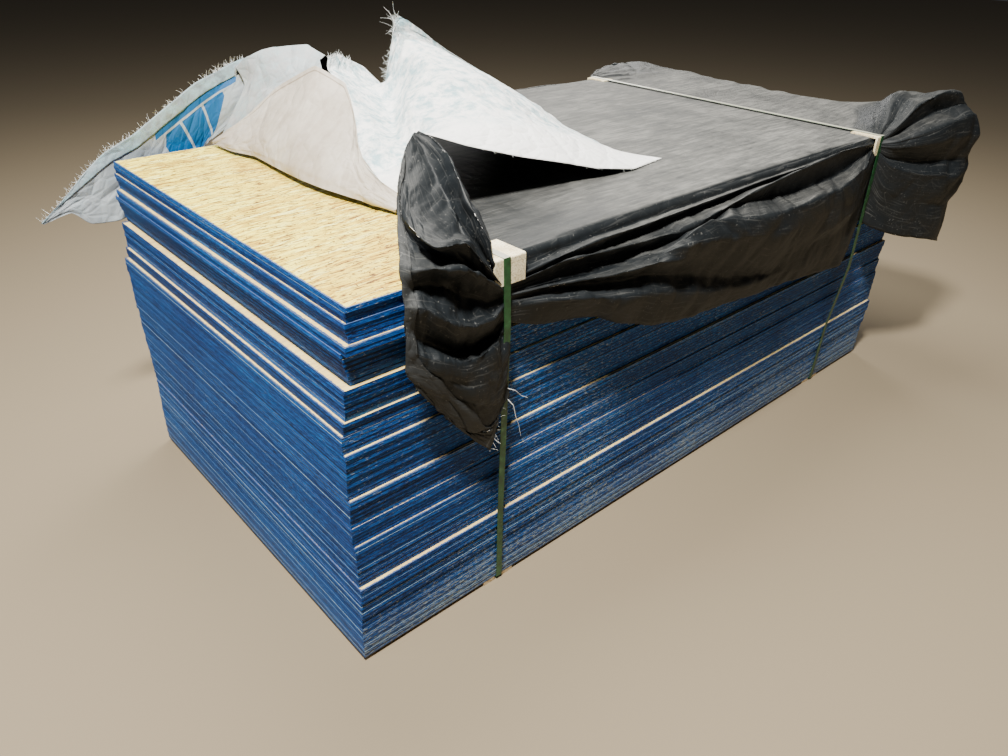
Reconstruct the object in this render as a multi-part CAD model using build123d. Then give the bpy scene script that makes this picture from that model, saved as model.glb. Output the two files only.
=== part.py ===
"""Strapped bundle of oriented strand board under a woven lumber wrap, in millimetres.

X runs along the sheets and Y across them. Z = 0 is the floor, under the middle of the lowest sheets.
The wrap's left end is cut open and thrown back, so the top sheet is bare there.
"""

from build123d import *
import os
from math import atan, cos, sin

# Sheets, 7/16 inch stock of 4 by 8 feet
sheet_length = 2438.0
sheet_width = 1219.0
sheet_thickness = 10.9
sheet_gap = 0.2
sheet_jog = 0.7

# Sheets in each lift, from the floor up, and how far each lift was shoved out of line:
# offset of its lowest and highest sheet along X, the same along Y, and its turn in degrees
lift_counts = [12, 5, 4, 11, 5, 7, 11, 4, 3, 7, 7, 2, 4, 2, 1]
lift_shifts = [
    (0.0, 1.0, 0.0, -1.0, 0.0),
    (2.0, 2.0, -5.0, -5.0, 0.0),
    (3.0, 3.0, -9.0, -9.0, 0.02),
    (6.0, 4.0, 1.0, -2.0, 0.0),
    (3.0, 3.0, 4.0, 0.0, -0.05),
    (2.0, 2.0, 5.0, -4.0, 0.0),
    (2.0, 1.0, 7.0, -4.0, 0.08),
    (0.0, 0.0, 3.0, 1.0, 0.05),
    (10.0, 7.0, -2.0, -6.0, -0.18),
    (16.0, 12.0, 0.0, -12.0, -0.12),
    (32.0, 16.0, 0.0, -3.0, 0.0),
    (18.0, 16.0, -20.0, -22.0, 0.0),
    (30.0, 23.0, -14.0, -16.0, 0.0),
    (28.0, 27.0, -14.0, -14.0, 0.0),
    (27.0, 27.0, -19.0, -19.0, 0.0),
]

# Laths under the stack, a pair for each strap, which runs between them
lath_thickness = 12.0
lath_width = 38.0
lath_spacing = 26.0
lath_clearance = 0.25

# Polyester straps, each with its foot's distance in from the sheets' end and its top's lean to the left,
# and the number of lifts below the ledge that they bend at
strap_width = 19.0
strap_thickness = 1.2
strap_clearance = 0.3
strap_slack = 1.5
left_strap_inset = 432.0
right_strap_inset = 356.0
left_strap_lean = 31.0
right_strap_lean = 12.0
lifts_below_ledge = 3

# Corner protectors of pressed fibre board
protector_width = 86.0
protector_top_leg = 95.0
protector_side_leg = 62.0
protector_thickness = 6.0
protector_overhang = 22.0
protector_bend = 4.0
crack_depth = 2.0
crack_width = 1.5
crack_drop = 14.0

# Lumber wrap: its cover, its gathers under the straps, its hem and its folded ends
wrap_thickness = 2.5
wrap_clearance = 0.5
gather_thickness = 12.0
gather_reach = 50.0
gather_taper = 20.0
hem_thickness = 3.0
fold_thickness = 6.0
cover_overhang = 27.0
cover_lap = 2.0

# Worked out from the sizes above
sheet_pitch = sheet_thickness + sheet_gap
stack_top = lath_thickness + sum(lift_counts) * sheet_pitch - sheet_gap
side_reach = sheet_width / 2 - min(min(row[2], row[3]) for row in lift_shifts) + sheet_jog
end_reach = sheet_length / 2 + max(max(row[0], row[1]) for row in lift_shifts) + sheet_jog
wrap_under = stack_top + wrap_clearance
wrap_top = wrap_under + wrap_thickness
wrap_inner = side_reach + wrap_clearance
wrap_end = end_reach + wrap_clearance
gather_outer = wrap_inner + gather_thickness + wrap_clearance
protector_under = wrap_top + strap_clearance
protector_inner = gather_outer + strap_clearance
on_floor = (Align.CENTER, Align.CENTER, Align.MIN)
left_strap = left_strap_inset - sheet_length / 2
right_strap = sheet_length / 2 - right_strap_inset
left_gather = left_strap - left_strap_lean
right_gather = right_strap - right_strap_lean

# The long side's hem: its drop at the straps, and between them the share of the way, bulge and drop
left_drop = 155.0
right_drop = 455.0
drape_between = [
    (0.11, 75.0, 185.0),
    (0.24, 95.0, 270.0),
    (0.43, 85.0, 337.0),
    (0.64, 65.0, 385.0),
    (0.84, 40.0, 430.0),
]

# The bunch past the right strap: distance past the strap, bulge, rise over the stack, drop of the hem
bunch = [
    (gather_reach + gather_taper, gather_thickness, wrap_top - stack_top, 315.0),
    (195.0, 90.0, 35.0, 355.0),
    (335.0, 160.0, 70.0, 415.0),
    (455.0, 190.0, 75.0, 435.0),
    (535.0, 150.0, 25.0, 395.0),
]

# Section of a drape: share of its bulge at each share of the way down to the hem
drape_section = [(0.8, 0.15), (1.0, 0.5), (0.75, 0.85)]

# The end's skirt between the two bunches: its shoulder, its bulge and its hem,
# and a place on the way to each, as distance past the sheets' end and drop from the top
skirt_over = (52.0, 26.0)
skirt_bulge = (108.0, 170.0)
skirt_down = (98.0, 300.0)
skirt_hem = (52.0, 420.0)

# The wing beside the left strap: distance past the strap, out from the long side, and rise over the stack
wing_points = {
    "gather": (-72.0, 6.0, -65.0),
    "foot": (-60.0, 26.0, -477.0),
    "foot_right": (-20.0, 24.0, -349.0),
    "left_low": (-216.0, 26.0, -296.0),
    "left": (-288.0, 20.0, -165.0),
    "left_high": (-284.0, 12.0, 20.0),
    "shoulder": (-170.0, -183.0, 107.0),
    "peak": (-45.0, -283.0, 210.0),
    "lip": (-5.0, -153.0, 95.0),
    "collar": (-72.0, 6.0, 30.0),
}
wing_triangles = [
    ("foot", "foot_right", "gather"), ("foot", "gather", "left_low"),
    ("left_low", "gather", "left"), ("left", "gather", "left_high"),
    ("left_high", "gather", "collar"), ("left_high", "collar", "shoulder"),
    ("shoulder", "collar", "lip"), ("shoulder", "lip", "peak"),
]

# The end that is thrown back, from its fold on the bare sheet to its hem, which hangs past the far edge:
# distance past the left strap, share of the wrap's half width from the middle, rise over the stack
fold_rise = wrap_clearance + fold_thickness / 2 + strap_clearance
heap_points = {
    "fold_far": (-125.0, 0.925, fold_rise),
    "fold_middle": (-106.0, 0.15, fold_rise),
    "fold_near": (-63.0, -0.375, fold_rise),
    "near_top": (15.0, -0.443, 185.0),
    "spike": (829.0, -0.588, 4.0),
    "hem_low": (865.0, 0.095, 13.0),
    "hem_middle": (785.0, 0.522, 115.0),
    "peak": (410.0, 0.553, 349.0),
    "valley": (225.0, 0.474, 175.0),
    "ridge": (225.0, 0.759, 235.0),
    "ridge_far": (50.0, 0.98, 236.0),
    "hem_far": (-222.0, 1.043, 102.0),
    "tip": (-619.0, 1.043, -163.0),
    "hang": (-402.0, 1.043, -193.0),
    "hang_right": (-95.0, 1.043, -195.0),
    "edge": (-125.0, 1.028, fold_rise),
}
heap_triangles = [
    ("fold_near", "near_top", "fold_middle"), ("fold_middle", "near_top", "valley"),
    ("near_top", "peak", "valley"), ("near_top", "spike", "peak"),
    ("peak", "spike", "hem_middle"), ("hem_middle", "spike", "hem_low"),
    ("fold_middle", "valley", "ridge"), ("fold_middle", "ridge", "fold_far"),
    ("fold_far", "ridge", "ridge_far"), ("fold_far", "ridge_far", "edge"),
    ("edge", "ridge_far", "hem_far"), ("edge", "hem_far", "hang"),
    ("edge", "hang", "hang_right"), ("hang", "hem_far", "tip"),
]


def sheet_solids():
    """The stack: every sheet one flat board, each lift shoved a little out of line with the next."""
    boards = []
    level = lath_thickness
    for count, (x_low, x_high, y_low, y_high, turn) in zip(lift_counts, lift_shifts):
        for step in range(count):
            part_way = step / max(count - 1, 1)
            shift_x = x_low + (x_high - x_low) * part_way + sheet_jog * sin(2.4 * len(boards))
            shift_y = y_low + (y_high - y_low) * part_way + sheet_jog * sin(3.7 * len(boards))
            board = Box(sheet_length, sheet_width, sheet_thickness, align=on_floor)
            boards.append(Pos(shift_x, shift_y, level) * Rot(0, 0, turn) * board)
            level += sheet_pitch
    return boards


def lath(strap_x, side):
    """One thin wooden lath across the bundle, beside the strap."""
    middle = strap_x + side * (lath_spacing + lath_width) / 2
    height = lath_thickness - lath_clearance
    blank = Box(lath_width, sheet_width, height, align=on_floor)
    return Pos(middle, 0, 0) * blank


def strap(strap_x, lean, drop):
    """A closed band over both protectors, down the wrap to its hem and under the stack between the laths."""
    over = protector_under + protector_thickness + strap_clearance
    out = protector_inner + protector_thickness + strap_clearance
    hem = stack_top - drop
    ledge_top = lath_thickness + sum(lift_counts[:lifts_below_ledge]) * sheet_pitch
    ledge_shift = -min(row[2] for row in lift_shifts[:lifts_below_ledge])
    ledge = sheet_width / 2 + ledge_shift + 2 * sheet_jog + strap_slack
    foot = sheet_width / 2 + 2 * strap_slack
    under = lath_thickness - strap_clearance
    inner = [
        (-out, over), (-out, hem), (-ledge, ledge_top), (-foot, under),
        (foot, under), (ledge, ledge_top), (out, hem), (out, over),
    ]
    tilt = atan(lean / over)
    path = Polyline(*[(y, z / cos(tilt)) for y, z in inner], close=True)
    leaning = Plane(origin=(strap_x, 0, 0), x_dir=(0, 1, 0), z_dir=(cos(tilt), 0, sin(tilt)))
    outline = leaning * make_face(offset(path, strap_thickness, kind=Kind.INTERSECTION))
    opening = leaning * make_face(path)
    return extrude(outline - opening, strap_width / 2, dir=(1, 0, 0), both=True)


def protector(gather_x, side):
    """An L of pressed fibre board, bent over the top edge under the strap and cracked below the bend."""
    corner = protector_inner + protector_thickness
    crown = protector_under + protector_thickness
    foot = crown - protector_side_leg
    tail = corner - protector_top_leg
    with BuildSketch(Plane.YZ) as profile:
        with BuildLine():
            Polyline(
                (corner, crown), (corner, foot), (protector_inner, foot),
                (protector_inner, protector_under), (tail, protector_under), (tail, crown), close=True,
            )
        make_face()
    blank = extrude(profile.sketch, protector_width)
    blank = fillet(blank.edges().filter_by(Axis.X).group_by(Axis.Z)[-1].sort_by(Axis.Y)[-1], protector_bend)
    crack = Box(protector_width, crack_depth, crack_width, align=(Align.MIN, Align.MAX, Align.MAX))
    crack_start = strap_width + protector_overhang
    blank = blank - Pos(crack_start, corner, crown - crack_drop) * crack
    piece = Pos(gather_x - protector_overhang - strap_width / 2, 0, 0) * blank
    return piece if side > 0 else mirror(piece, Plane.XZ)


def drape_slice(x, bulge, rise, drop):
    """A slice across one long side of the wrap, from the top edge down to the hem."""
    top = stack_top + rise
    hem = stack_top - drop
    middle = [(wrap_inner + bulge * out, top - (top - hem) * down) for out, down in drape_section]
    with BuildSketch(Plane.YZ.offset(x)) as across:
        with BuildLine():
            Spline((wrap_inner, top), *middle, (wrap_inner + hem_thickness, hem))
            Polyline((wrap_inner + hem_thickness, hem), (wrap_inner, hem), (wrap_inner, top))
        make_face()
    return across.sketch


def drape(side):
    """The wrap down one long side, drawn in under both straps and flaring past the right one."""
    flat = wrap_top - stack_top
    rows = [
        (left_gather - gather_reach, gather_thickness, flat, left_drop),
        (left_gather + gather_reach + gather_taper, gather_thickness, flat, left_drop),
    ]
    for share, bulge, drop in drape_between:
        rows.append((left_gather + (right_gather - left_gather) * share, bulge, flat, drop))
    rows.append((right_gather - gather_reach, gather_thickness, flat, right_drop))
    for past, bulge, rise, drop in bunch:
        rows.append((right_strap + past, bulge, rise, drop))
    body = loft([drape_slice(*row) for row in rows], ruled=True)
    return body if side > 0 else mirror(body, Plane.XZ)


def end_skirt():
    """The wrap down the right end, between the bunches at its corners."""
    over, bulge, down, hem = [
        (wrap_end + past, stack_top - drop) for past, drop in (skirt_over, skirt_bulge, skirt_down, skirt_hem)
    ]
    top = (wrap_end, wrap_top)
    with BuildSketch(Plane.XZ) as section:
        with BuildLine():
            ThreePointArc(top, over, bulge)
            ThreePointArc(bulge, down, hem)
            Polyline(hem, (wrap_end, hem[1]), top)
        make_face()
    return extrude(section.sketch, wrap_inner, both=True)


def folded_sheet(points, triangles):
    """A creased sheet with a real thickness, closed all round, from named points and its flat triangles."""
    at = {name: Vector(*point) for name, point in points.items()}
    normals = {name: Vector(0, 0, 0) for name in points}
    for a, b, c in triangles:
        flat = (at[b] - at[a]).cross(at[c] - at[a]).normalized()
        for name in (a, b, c):
            normals[name] = normals[name] + flat
    outer = {name: at[name] + normals[name].normalized() * (fold_thickness / 2) for name in points}
    inner = {name: at[name] - normals[name].normalized() * (fold_thickness / 2) for name in points}
    walked = {edge for a, b, c in triangles for edge in ((a, b), (b, c), (c, a))}
    rim = [edge for edge in walked if (edge[1], edge[0]) not in walked]
    facets = []
    for a, b, c in triangles:
        facets.append((outer[a], outer[b], outer[c]))
        facets.append((inner[c], inner[b], inner[a]))
    for a, b in sorted(rim):
        facets.append((outer[b], outer[a], inner[a]))
        facets.append((outer[b], inner[a], inner[b]))
    return Solid(Shell([Face(Wire.make_polygon(corners, close=True)) for corners in facets]))


def left_wing():
    """The near left end of the wrap, fanned out of the left strap's gather and leaning over the top."""
    placed = {
        name: (left_strap + past, -wrap_inner - out, stack_top + rise)
        for name, (past, out, rise) in wing_points.items()
    }
    return folded_sheet(placed, wing_triangles)


def heap_place(name):
    """A named point of the thrown-back end."""
    past, share, rise = heap_points[name]
    return (left_strap + past, wrap_inner * share, stack_top + rise)


def thrown_back_end():
    """The far left end of the wrap, lifted and folded back over the top, white side up."""
    return folded_sheet({name: heap_place(name) for name in heap_points}, heap_triangles)


def top_cover():
    """The flat run over the top, from the fold near the left strap to just past the right end."""
    side = wrap_inner + cover_lap
    left = left_gather - gather_reach
    right = end_reach + cover_overhang
    fold = [heap_place(name)[:2] for name in ("fold_near", "fold_middle", "fold_far")]
    far_corner = (fold[-1][0], side)
    with BuildSketch(Plane.XY.offset(wrap_under)) as outline:
        with BuildLine():
            Polyline((left, -side), *fold, far_corner, (right, side), (right, -side), close=True)
        make_face()
    return extrude(outline.sketch, wrap_thickness)


def lumber_wrap():
    body = top_cover() + end_skirt()
    for side in (-1, 1):
        body = body + drape(side)
    body = body + left_wing()
    body = body + thrown_back_end()
    return body


def write(name, shape):
    export_step(shape, f"parts/{name}.step")


os.makedirs("parts", exist_ok=True)
write("osb_sheets", Compound(sheet_solids()))
for name, place, lean, drop in (
    ("left", left_strap, left_strap_lean, left_drop), ("right", right_strap, right_strap_lean, right_drop),
):
    write(f"strap_{name}", strap(place, lean, drop))
    for side_name, side in (("near", -1), ("far", 1)):
        write(f"protector_{name}_{side_name}", protector(place - lean, side))
    for lath_name, side in (("outer", -1), ("inner", 1)):
        write(f"lath_{name}_{lath_name}", lath(place, side))
write("lumber_wrap", lumber_wrap())
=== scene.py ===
import random
from math import cos, pi, radians, sin

import bpy
import numpy as np
from mathutils import Matrix, Vector, noise


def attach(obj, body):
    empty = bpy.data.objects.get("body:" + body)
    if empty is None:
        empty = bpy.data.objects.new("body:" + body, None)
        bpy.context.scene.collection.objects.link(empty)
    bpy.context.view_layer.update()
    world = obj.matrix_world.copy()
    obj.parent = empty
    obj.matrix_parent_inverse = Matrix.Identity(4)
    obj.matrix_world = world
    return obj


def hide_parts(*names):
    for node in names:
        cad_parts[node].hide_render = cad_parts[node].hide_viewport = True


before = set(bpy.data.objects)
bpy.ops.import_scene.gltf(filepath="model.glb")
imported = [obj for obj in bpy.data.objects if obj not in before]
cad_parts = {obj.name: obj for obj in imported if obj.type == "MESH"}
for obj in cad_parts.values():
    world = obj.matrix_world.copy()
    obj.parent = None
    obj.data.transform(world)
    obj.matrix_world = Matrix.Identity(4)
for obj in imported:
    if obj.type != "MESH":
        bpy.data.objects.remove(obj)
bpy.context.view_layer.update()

# The camera
# It stands at about eye height off the near left corner, where the photograph was taken, and looks down
# along the bundle.
camera_place = (-1.8344, -1.7669, 1.5823)
camera_down = radians(31.03)
camera_turn = radians(-42.31)
camera_roll = radians(1.26)
focal_pixels = 778.2
frame_pixels = 1008
sensor_width = 36.0

look = Vector((-sin(camera_turn) * cos(camera_down), cos(camera_turn) * cos(camera_down), -sin(camera_down)))
level_right = Vector((cos(camera_turn), sin(camera_turn), 0.0))
level_up = level_right.cross(look)
right = level_right * cos(camera_roll) + level_up * sin(camera_roll)
up = level_up * cos(camera_roll) - level_right * sin(camera_roll)
bpy.ops.object.camera_add(location=camera_place)
camera = bpy.context.object
camera.matrix_world = Matrix.Translation(camera_place) @ Matrix((right, up, -look)).transposed().to_4x4()
camera.data.sensor_width = sensor_width
camera.data.lens = focal_pixels / frame_pixels * sensor_width
bpy.context.scene.camera = camera

# The studio
# A plain pale floor, and soft light from broad lamps overhead with a weaker fill from the left.
floor_size = 40.0
floor_colour = (0.265, 0.212, 0.140, 1.0)
world_colour = (0.80, 0.83, 0.88, 1.0)
world_strength = 0.045
lamps = [
    ("lamp_key", (-2.1, -1.42, 4.4), (-0.2, -0.3, 0.6), 0.5, 540.0, (1.0, 0.97, 0.90)),
    ("lamp_overhead", (0.2, 0.9, 3.8), (0.0, 0.0, 0.8), 2.2, 190.0, (1.0, 0.97, 0.90)),
    ("lamp_far", (2.6, 2.6, 2.4), (0.0, -0.2, 0.9), 1.6, 80.0, (1.0, 0.98, 0.95)),
    ("lamp_left", (-4.2, 0.3, 2.0), (-0.8, 0.2, 0.5), 2.0, 34.0, (0.96, 0.98, 1.0)),
]


def new_material(name, **principled):
    """A material and its Principled BSDF, whose plain values are set on its own sockets."""
    made = bpy.data.materials.new(name)
    made.use_nodes = True
    shader = made.node_tree.nodes["Principled BSDF"]
    for socket, value in principled.items():
        shader.inputs[socket.replace("_", " ")].default_value = value
    return made, shader


bpy.ops.object.select_all(action="DESELECT")
bpy.ops.mesh.primitive_plane_add(size=floor_size)
floor = bpy.context.object
floor.name = "studio_floor"
floor.data.materials.append(new_material("studio_floor", Roughness=0.85, Base_Color=floor_colour)[0])

for name, place, target, size, power, colour in lamps:
    bpy.ops.object.light_add(type="AREA", location=place)
    lamp = bpy.context.object
    lamp.name = name
    lamp.data.size = size
    lamp.data.energy = power
    lamp.data.color = colour
    lamp.rotation_euler = (Vector(target) - Vector(place)).to_track_quat("-Z", "Y").to_euler()

world = bpy.data.worlds.new("studio_world")
world.use_nodes = True
world.node_tree.nodes["Background"].inputs["Color"].default_value = world_colour
world.node_tree.nodes["Background"].inputs["Strength"].default_value = world_strength
bpy.context.scene.world = world

# The oriented strand boards
# 85 sheets of pressed softwood strands in wax and resin, sawn to size, with blue sealer sprayed on the
# edges of the whole stack. The lifts were shoved after spraying, so bare strips of face show as ledges.
board_pitch = 0.0111
lowest_face = 0.012
top_sheet = 0.94
sheet_length = 2.4384
sheet_width = 1.2192
overspray = 0.0045
strand_length = 0.075
strand_width = 0.008
least_shove = 0.0045


class Signal:
    """A node's output to reckon with: signs such as + and > on it add Math nodes to its tree."""

    def __init__(self, socket):
        self.socket = socket
        self.tree = socket.id_data

    def __abs__(self):
        return maths("ABSOLUTE", self)


def feed(entry, value):
    """Puts a plain value or a signal into a node's input."""
    if isinstance(value, Signal):
        value.tree.links.new(value.socket, entry)
    else:
        entry.default_value = value


def add_node(tree, kind, inputs=None, **settings):
    """A shader node with its settings, and a plain value or a signal in each named input."""
    made = tree.nodes.new("ShaderNode" + kind)
    for name, value in settings.items():
        setattr(made, name, value)
    for name, value in (inputs or {}).items():
        feed(made.inputs[name], value)
    return made


def signal(kind, output, inputs, **settings):
    """One output of a new node, in the tree of the signals that feed it."""
    tree = next(value.tree for value in inputs.values() if isinstance(value, Signal))
    return Signal(add_node(tree, kind, inputs, **settings).outputs[output])


def given(shader, kind, output, **settings):
    """One output of a node that takes nothing, such as the place on the object, in a shader's tree."""
    return Signal(add_node(shader.id_data, kind, **settings).outputs[output])


def maths(operation, *values):
    """The result of a Math node on plain values and signals."""
    return signal("Math", 0, dict(enumerate(values)), operation=operation)


def vector_maths(operation, inputs):
    """The result of a Vector Math node."""
    return signal("VectorMath", 0, inputs, operation=operation)


# The signs that a signal takes, each with its Math operation
for sign, operation in (
        ("add", "ADD"), ("sub", "SUBTRACT"), ("mul", "MULTIPLY"), ("truediv", "DIVIDE"), ("pow", "POWER"),
        ("gt", "GREATER_THAN"), ("lt", "LESS_THAN")):
    setattr(Signal, f"__{sign}__", lambda first, second, kind=operation: maths(kind, first, second))
    setattr(Signal, f"__r{sign}__", lambda second, first, kind=operation: maths(kind, first, second))


def least(first, second):
    """The lesser of two values."""
    return maths("MINIMUM", first, second)


def most(first, second):
    """The greater of two values."""
    return maths("MAXIMUM", first, second)


def clamped(value, low, high):
    """The value, kept within two others."""
    return signal("Clamp", 0, {"Value": value, "Min": low, "Max": high})


def parts(value, kind="SeparateXYZ"):
    """The x, y and z of a vector, or the three channels of a colour."""
    made = add_node(value.tree, kind, {0: value})
    return [Signal(part) for part in made.outputs]


def stretched(place, scale, turn=0.0, shift=(0.0, 0.0, 0.0)):
    """A place scaled along each axis, turned about z and moved."""
    return signal("Mapping", 0, {
        "Vector": place, "Scale": scale, "Rotation": (0.0, 0.0, turn), "Location": shift})


def clouds(place, scale, detail=2.0, roughness=0.5, output="Fac"):
    """Soft noise over a place."""
    return signal("TexNoise", output, {
        "Vector": place, "Scale": scale, "Detail": detail, "Roughness": roughness})


def cells(place, scale, output="Distance", feature="DISTANCE_TO_EDGE"):
    """Flat random cells over a place: the distance to their borders, or their own colour."""
    return signal("TexVoronoi", output, {
        "Vector": place, "Scale": scale}, voronoi_dimensions="2D", feature=feature)


def shades(factor, *stops):
    """The colour of a ramp, from its stops as (position, colour)."""
    made = add_node(factor.tree, "ValToRGB", {"Fac": factor})
    while len(made.color_ramp.elements) < len(stops):
        made.color_ramp.elements.new(0.5)
    for element, (position, colour) in zip(made.color_ramp.elements, stops):
        element.position = position
        element.color = (*colour, 1.0)
    return Signal(made.outputs[0])


def mixed(factor, first, second, blend="MIX"):
    """The colour between two, each a plain colour or a signal."""
    first, second = (colour if isinstance(colour, Signal) else (*colour, 1.0) for colour in (first, second))
    return signal("Mix", 2, {0: factor, 6: first, 7: second}, data_type="RGBA", blend_type=blend)


def surface(shader, colour, height, distance, strength):
    """Gives a shader its colour, and relief by its normal."""
    feed(shader.inputs["Base Color"], colour)
    relief = signal("Bump", 0, {"Height": height, "Distance": distance, "Strength": strength})
    feed(shader.inputs["Normal"], relief)


def new_group(name, takes, gives):
    """An empty shader node group, its named inputs as signals, and the sockets of its named outputs."""
    tree = bpy.data.node_groups.new(name, "ShaderNodeTree")
    for way, sockets in (("INPUT", takes), ("OUTPUT", gives)):
        for socket, kind in sockets.items():
            tree.interface.new_socket(socket, in_out=way, socket_type="NodeSocket" + kind)
    entries = tree.nodes.new("NodeGroupInput").outputs
    return tree, [Signal(entries[socket]) for socket in takes], tree.nodes.new("NodeGroupOutput").inputs


def strand_group():
    """Flat strands in two layers, each turned a little from the sheet's length, with cracks and specks."""
    tree, (place,), gives = new_group("strands", {"Vector": "Vector"}, {"Color": "Color"})
    shift = vector_maths("SUBTRACT", {0: clouds(place, 9.0, output="Color"), 1: (0.5, 0.5, 0.5)})
    bent = vector_maths("ADD", {0: place, 1: vector_maths("SCALE", {0: shift, "Scale": 0.030})})
    strands = None
    for layer, turn in enumerate((0.05, -0.16)):
        placed = stretched(bent, (1.0, 1.0, 1.0), turn, (layer * 3.1, layer * 5.3, 0.0))
        scaled = vector_maths("MULTIPLY", {0: placed, 1: (1.0 / strand_length, 1.0 / strand_width, 1.0)})
        tone, depth, _ = parts(cells(scaled, 1.0, "Color", "F1"), "SeparateColor")
        wood = shades(
            tone, (0.0, (0.42, 0.25, 0.030)), (0.10, (0.70, 0.50, 0.050)),
            (0.45, (0.92, 0.76, 0.095)), (0.80, (1.00, 0.90, 0.180)), (1.0, (1.00, 1.00, 0.38)))
        lined = mixed((cells(scaled, 1.0) < 0.022) * 0.65, wood, (0.26, 0.13, 0.03))
        strands = lined if strands is None else mixed(depth > 0.45, strands, lined)
    for size, turn, stops in (
            ((24.0, 460.0, 1.0), 0.0, (
                (0.33, (1.0, 1.0, 1.0)), (0.55, (0.93, 0.89, 0.80)), (0.66, (0.45, 0.33, 0.20)))),
            ((30.0, 175.0, 1.0), 0.10, (
                (0.54, (1.0, 1.0, 1.0)), (0.59, (0.46, 0.32, 0.17)), (0.65, (0.12, 0.06, 0.02))))):
        grain = shades(clouds(stretched(bent, size, turn), 1.0, 3.0, 0.6), *stops)
        strands = mixed(1.0, strands, grain, "MULTIPLY")
    specks = shades(clouds(place, 130.0, 1.0), (0.66, (1.0, 1.0, 1.0)), (0.71, (0.22, 0.13, 0.06)))
    feed(gives["Color"], mixed(1.0, strands, specks, "MULTIPLY"))
    return tree


def board_face_material():
    """The level faces: golden strands on the top sheet; on the ledges the strands are mixed towards pale
    cream, partly their bare face and partly painted light against the shade of the sheet above; and
    overspray.
    """
    made, shader = new_material("strand_face", Roughness=0.6)
    place = given(shader, "TexCoord", "Object")
    strands = signal("Group", "Color", {"Vector": place}, node_tree=strand_group())
    warm = shades(clouds(place, 3.0), (0.35, (0.90, 0.80, 0.60)), (0.62, (1.10, 1.12, 1.05)))
    ledge = parts(place)[2] < top_sheet
    # The ledges are lightened towards cream: partly the bare strands' own tone, partly painted light that
    # offsets the shade cast by the sheet above.
    faces_with_lit_ledges = mixed(ledge * 0.70, mixed(1.0, strands, warm, "MULTIPLY"), (0.90, 0.66, 0.33))
    own_x, own_y, _ = parts(given(shader, "UVMap", 0, uv_map="own_corner"))
    to_edge = least(least(own_x, sheet_length - own_x), least(own_y, sheet_width - own_y))
    spread = (clouds(place, 170.0, 3.0, 0.7) + 0.10) * (overspray * 1.7)
    coat = clamped((spread - to_edge) * 900.0, 0.0, 0.94)
    flakes = clouds(stretched(place, (22.0, 260.0, 1.0)), 1.0)
    surface(shader, mixed(coat, faces_with_lit_ledges, (0.000, 0.060, 0.230)), flakes, 0.0015, 0.7)
    return made


def sprayed_edge_group():
    """The sprayed edge of the stack from a place and its face: board tones, painted shade in the seams
    between boards, streaks and bare ends.
    """
    tree, (place, face), gives = new_group(
        "sprayed_edge", {"Vector": "Vector", "Face": "Vector"}, {"Color": "Color", "Height": "Float"})
    x, y, z = parts(place)
    _, face_y, face_z = parts(face)
    layer = (z - lowest_face) / board_pitch
    number, across = maths("FLOOR", layer), maths("FRACT", layer)
    tone, seam_tone = (
        signal("TexWhiteNoise", "Value", {"W": w}, noise_dimensions="1D")
        for w in (number, maths("ROUND", layer) + 0.37))
    long_face = abs(face_y) > 0.5
    flow = signal("CombineXYZ", 0, {"X": x + y, "Y": number * 3.7, "Z": z})
    streak = clouds(stretched(flow, (58.0, 1.0, 620.0)), 1.0, 3.0, 0.68)
    blotch = clouds(place, 2.6, 3.0)
    blue = shades(
        streak + (tone - 0.5) * 0.10, (0.33, (0.000, 0.010, 0.050)), (0.45, (0.000, 0.048, 0.230)),
        (0.56, (0.000, 0.110, 0.450)), (0.68, (0.008, 0.200, 0.660)), (0.78, (0.140, 0.380, 0.740)))
    cloudy = shades(blotch, (0.34, (0.62, 0.66, 0.74)), (0.64, (1.15, 1.12, 1.04)))
    sprayed = mixed(1.0, blue, cloudy, "MULTIPLY")
    chips = clouds(stretched(flow, (75.0, 1.7, 760.0)), 1.0)
    low = most(0.30 - z, 0.0) * 0.42
    easy = long_face * 0.075 + (tone * 0.045 + low * long_face)
    bare = clamped((chips - ((0.760 - easy) - (blotch - 0.45) * 0.26)) * 22.0, 0.0, 0.82)
    bared = mixed(bare, sprayed, (0.52, 0.58, 0.52))
    # Painted shade: a near-black band along each seam between boards, standing for the shade in the gap and
    # under the board above.
    seam = least(across, 1.0 - across) < seam_tone ** 4.0 * 0.17 + streak * 0.20
    with_seam_shade = mixed(seam * 0.88, bared, (0.000, 0.002, 0.008))
    arris = (tone > 0.87) * (across + chips * 0.20 > 1.02)
    lined = mixed(arris * 0.62, with_seam_shade, (0.66, 0.70, 0.60))
    jog = mixed(streak * seam_tone * 1.5, (0.001, 0.040, 0.150), (0.260, 0.380, 0.460))
    jogged = mixed(abs(face_z) > 0.5, lined, jog)
    feed(gives["Color"], mixed(most(0.12 - z, 0.0) * 1.7, jogged, (0.20, 0.23, 0.24)))
    feed(gives["Height"], streak)
    return tree


def board_edge_material():
    """The blue sealer, over which the light skims: the coat lies in the strand ends' hollows."""
    made, shader = new_material("sprayed_edge", Roughness=0.62, Specular_IOR_Level=0.22)
    edge = add_node(shader.id_data, "Group", node_tree=sprayed_edge_group())
    feed(edge.inputs["Vector"], given(shader, "TexCoord", "Object"))
    feed(edge.inputs["Face"], given(shader, "NewGeometry", "Normal"))
    surface(shader, Signal(edge.outputs["Color"]), Signal(edge.outputs["Height"]), 0.0012, 0.8)
    return made


def level_of(polygon):
    """The height of a level face in tenths of a millimetre, and nothing for an upright one."""
    return round(polygon.center.z * 1e4) if abs(polygon.normal.z) > 0.5 else None


def dress(node, *materials):
    """Puts materials on a CAD node in place of its own: the first on level faces, if there are two."""
    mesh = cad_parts[node].data
    mesh.materials.clear()
    for material in materials:
        mesh.materials.append(material)
    for polygon in mesh.polygons:
        polygon.material_index = 1 if len(materials) > 1 and level_of(polygon) is None else 0


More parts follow.
